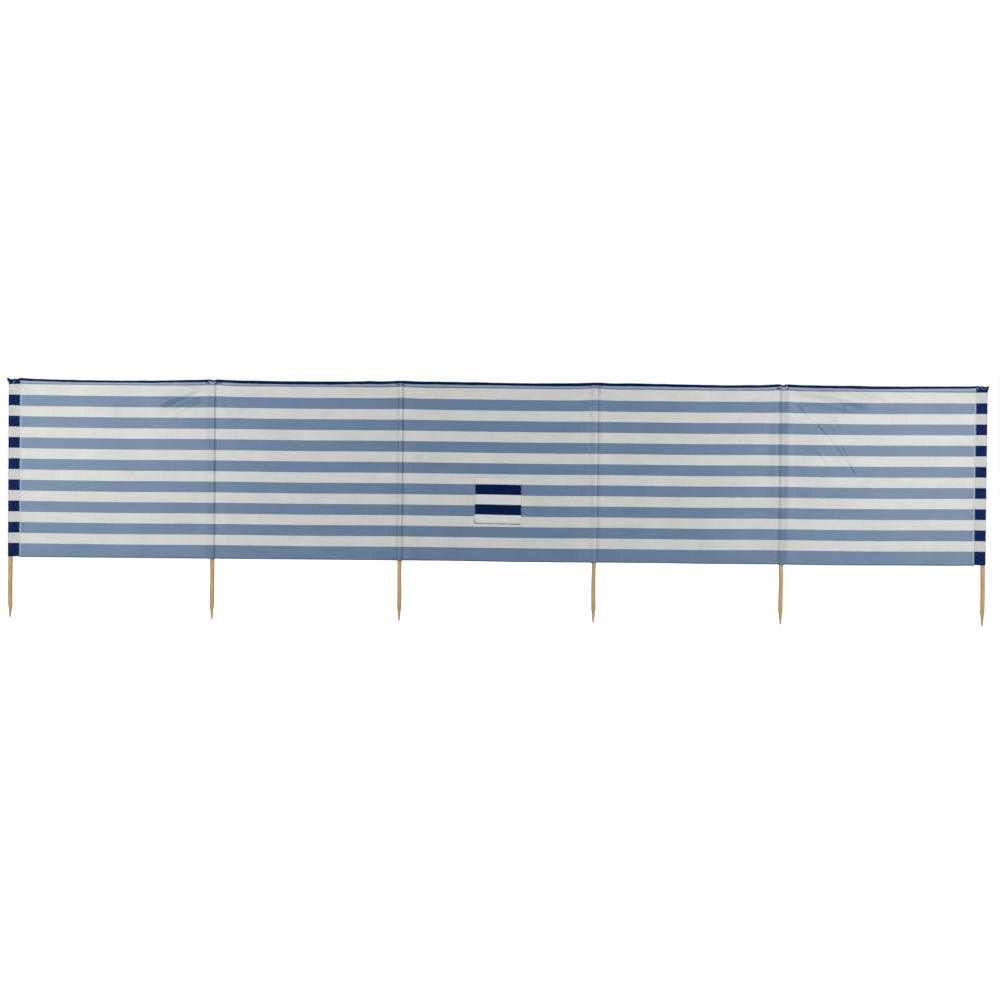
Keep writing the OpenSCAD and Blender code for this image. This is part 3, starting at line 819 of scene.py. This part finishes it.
v = np.linspace(1 - POCKET_HEM / tall, 1.004, 9)[None, :]
x = POCKET_LOW[0] + 0.0008 + (width - 0.0016) * u + 0.004 * (v - 0.35) * (1 - u) - 0.001 * v * u
z = POCKET_LOW[2] + tall * v + 0.0018 * np.sin(np.pi * u) * (v - 0.5)
edge = 0.0003 * np.exp(-(((v - v[0, 0]) / 0.02) ** 2))
at = grid_of(x, STRIPE_FIRST + STRIPE_PITCH - 0.030 + 0.018 * (v - v[0, 0]), 0)
mouth = make_sheet("pocket_mouth", grid_of(x, pocket_y(x, z) - POCKET_T - edge, z), at, POCKET_T,
                   printed, printed)
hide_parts("pocket_hem")

# The turned allowance under the patch shows below its foot as a thin strip of the washed side.
u, v = np.linspace(0, 1, 64)[:, None], np.linspace(0, 1, 6)[None, :]
x = POCKET_LOW[0] - 0.0045 + (width + 0.0030) * u + 0 * v
z = POCKET_LOW[2] - 0.0030 + 0.0045 * (1 - u) + 0.016 * v - 0.0006 * np.sin(24 * u) * (1 - v)
middle = grid_of(x, cloth_y(3, x, z) - CLOTH_T / 2 - 0.0004, z)
turning = make_sheet("pocket_turning", middle, grid_of(x, STRIPE_FIRST + 0.015 + 0.02 * v, 0), TURNING_T,
                     washed, washed)
for piece in (patch, mouth, turning):
    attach(piece, "middle_bay")


# ---------------------------------------------------------------------------- Stitches
# Pale polyester thread in lock stitches, sewn by machine along every hem, beside every pole and
# round the pocket. Each stitch is a short stout piece of thread that passes through the cloth.
STITCH_LENGTH = 0.0034
STITCH_PITCH = 0.0048
STITCH_R = 0.00026
THREAD = (0.66, 0.67, 0.68, 1)
THREAD_SHADE = (0.56, 0.58, 0.60, 1)


def make_thread():
    """Twisted thread: fine slanting bands over a pale colour."""
    made, tree, shader = new_material("pale_thread", Roughness=0.5)
    place = add(tree, "TexCoord").outputs["Object"]
    slant = add(tree, "Mapping", {0: place, 2: (0.6, 0.4, 0.3)}).outputs[0]
    twist = add(tree, "TexWave", {"Vector": slant, "Scale": 900.0, "Distortion": 1.0}).outputs[1]
    colour = blend_colour(tree, twist, THREAD, THREAD_SHADE)
    bump = add(tree, "Bump", {"Height": twist, "Strength": 0.4, "Distance": 0.0001}).outputs[0]
    tree.links.new(colour, shader.inputs["Base Color"])
    tree.links.new(bump, shader.inputs["Normal"])
    return made


thread = make_thread()
CORNERS = np.array([(a, b, c) for a in (-1, 1) for b in (-1, 1) for c in (-1, 1)], float)
SIDES = np.array([(0, 1, 3, 2), (4, 6, 7, 5), (0, 4, 5, 1), (2, 3, 7, 6), (0, 2, 6, 4), (1, 5, 7, 3)])


def sew(name, lines, body):
    """A short block for every stitch: each line is an array of places along a seam and the depth
    of cloth there, and a block lies along its line's direction at every pitch."""
    blocks = []
    for line, deep in lines:
        step = np.linalg.norm(np.diff(line, axis=0), axis=1)
        run = np.concatenate([[0], np.cumsum(step)])
        stops = np.arange(STITCH_PITCH / 2, run[-1], STITCH_PITCH)
        middle, ahead, back = (grid_of(*(np.interp(stops + by, run, line[:, n]) for n in range(3)))
                               for by in (0, 0.001, -0.001))
        along = (ahead - back) / np.linalg.norm(ahead - back, axis=1, keepdims=True)
        across = np.cross(along, (0, 1, 0))
        offs = (CORNERS[None, :, :1] * along[:, None] * STITCH_LENGTH / 2
                + CORNERS[None, :, 1:2] * across[:, None] * STITCH_R
                + CORNERS[None, :, 2:] * np.array((0, 1, 0))[None, None] * deep / 2)
        blocks.append((middle[:, None] + offs).reshape(-1, 3))
    points = np.vstack(blocks)
    faces = (SIDES[None] + 8 * np.arange(len(points) // 8)[:, None, None]).reshape(-1, 4)
    piece = make_piece(name, points, faces.tolist(), [thread], flat=np.ones(len(faces), bool))
    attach(piece, body)


for k in BAYS:
    x0, x1 = bay_ends(k)
    x = np.linspace(x0 + 0.006, x1 - 0.006, 300)
    rows = []
    for up, deep in ((BAND_FOOT + 0.0022, 0.0052), (CLOTH_FOOT + HEM_H - 0.002, 0.0046)):
        level = 0 * x + up
        y = cloth_y(k, x, level) - (0.0003 if up > 1 else -0.0006)
        rows.append((grid_of(x, y, cloth_z(x, level)), deep))
    up = np.linspace(CLOTH_FOOT + 0.012, 1.175, 300)
    for pole, seam, inward in ((k, x0, 1), (k + 1, x1, -1)):
        if pole in INNER:
            rows.append((grid_of(seam + inward * 0.0016, 0, cloth_z(0 * up + seam, up)), 0.0026))
        else:
            rows.append((grid_of(POLE_X[pole] + inward * (END_REACH - 0.002), -0.0006, up), 0.0046))
    if k == 3:
        low, high = POCKET_LOW[2] + 0.003, POCKET_HIGH[2] - 0.004
        side = np.linspace(high, low, 60)
        foot = np.linspace(POCKET_LOW[0] + 0.003, POCKET_HIGH[0] - 0.003, 60)
        lines = [(0 * side + POCKET_LOW[0] + 0.003, side), (foot, 0 * foot + low),
                 (0 * side + POCKET_HIGH[0] - 0.003, side),
                 (foot, 0 * foot + POCKET_HIGH[2] - POCKET_HEM + 0.002)]
        for px, pz in lines:
            rows.append((grid_of(px, pocket_y(px, pz) - 0.0004, pz), 0.0024))
    sew(f"stitches_{k}", rows, BAY_BODY[k])

for k in BAYS:
    x0, x1 = bay_ends(k)


# ---------------------------------------------------------------------------- Studio
# A plain pale floor and white surround, soft lights in front of the two ends, a weak one above and
# a strong one behind, and a camera at hip height that looks almost level at the run's middle.
FLOOR_HALF = 30.0
FLOOR_LOW = -0.001
FILL = 0.025
LENS = 57.29
CAMERA_PLACE = (0.5026, -8.0, 0.7191)
CAMERA_DIP = 0.756
CAMERA_ROLL = 0.53
SOFTBOX_SIZE = (1.2, 1.8)
SOFTBOX_WARM = (1.0, 0.995, 0.985)
pale, tree, shader = new_material("pale_floor", Base_Color=(0.55, 0.55, 0.55, 1), Roughness=0.9,
                                  Emission_Color=(1, 1, 1, 1), Specular_IOR_Level=0.0)
seen = add(tree, "LightPath").outputs["Is Camera Ray"]
tree.links.new(seen, shader.inputs["Emission Strength"])
corners = [(a * FLOOR_HALF, b * FLOOR_HALF, FLOOR_LOW) for a, b in ((-1, -1), (1, -1), (1, 1), (-1, 1))]
floor = make_piece("floor", corners, [(0, 1, 2, 3)], [pale])

world = bpy.data.worlds.new("white_surround")
bpy.context.scene.world = world
world.use_nodes = True
tree = world.node_tree
sky = tree.nodes["Background"]
sky.inputs["Color"].default_value = (1, 1, 1, 1)
seen = add(tree, "LightPath").outputs["Is Camera Ray"]
tree.links.new(add(tree, "MapRange", {0: seen, 3: FILL, 4: 1.0}).outputs[0], sky.inputs["Strength"])

for name, place, aim, power in (("left_softbox", (-2.75, -3.55, 1.35), (-0.6, 0, 0.75), 95.5),
                                ("right_softbox", (3.75, -3.55, 1.35), (1.6, 0, 0.75), 96.5),
                                ("top_softbox", (0.5, -1.8, 4.0), (0.5, 0, 0.75), 12),
                                ("back_softbox", (0.5, 5.5, 2.6), (0.5, 0, 0.75), 210)):
    lamp = bpy.data.lights.new(name, "AREA")
    lamp.shape, lamp.energy, lamp.color = "RECTANGLE", power, SOFTBOX_WARM
    lamp.size, lamp.size_y = SOFTBOX_SIZE
    softbox = bpy.data.objects.new(name, lamp)
    bpy.context.scene.collection.objects.link(softbox)
    away = Vector(aim) - Vector(place)
    softbox.matrix_world = Matrix.Translation(place) @ away.to_track_quat("-Z", "Y").to_matrix().to_4x4()

camera_data = bpy.data.cameras.new("camera")
camera_data.lens, camera_data.sensor_width = LENS, 36.0
camera = bpy.data.objects.new("camera", camera_data)
bpy.context.scene.collection.objects.link(camera)
camera.matrix_world = (Matrix.Translation(CAMERA_PLACE)
                       @ Matrix.Rotation(math.radians(90 - CAMERA_DIP), 4, "X")
                       @ Matrix.Rotation(math.radians(CAMERA_ROLL), 4, "Z"))
bpy.context.scene.camera = camera
bpy.context.scene.view_settings.view_transform = "Standard"
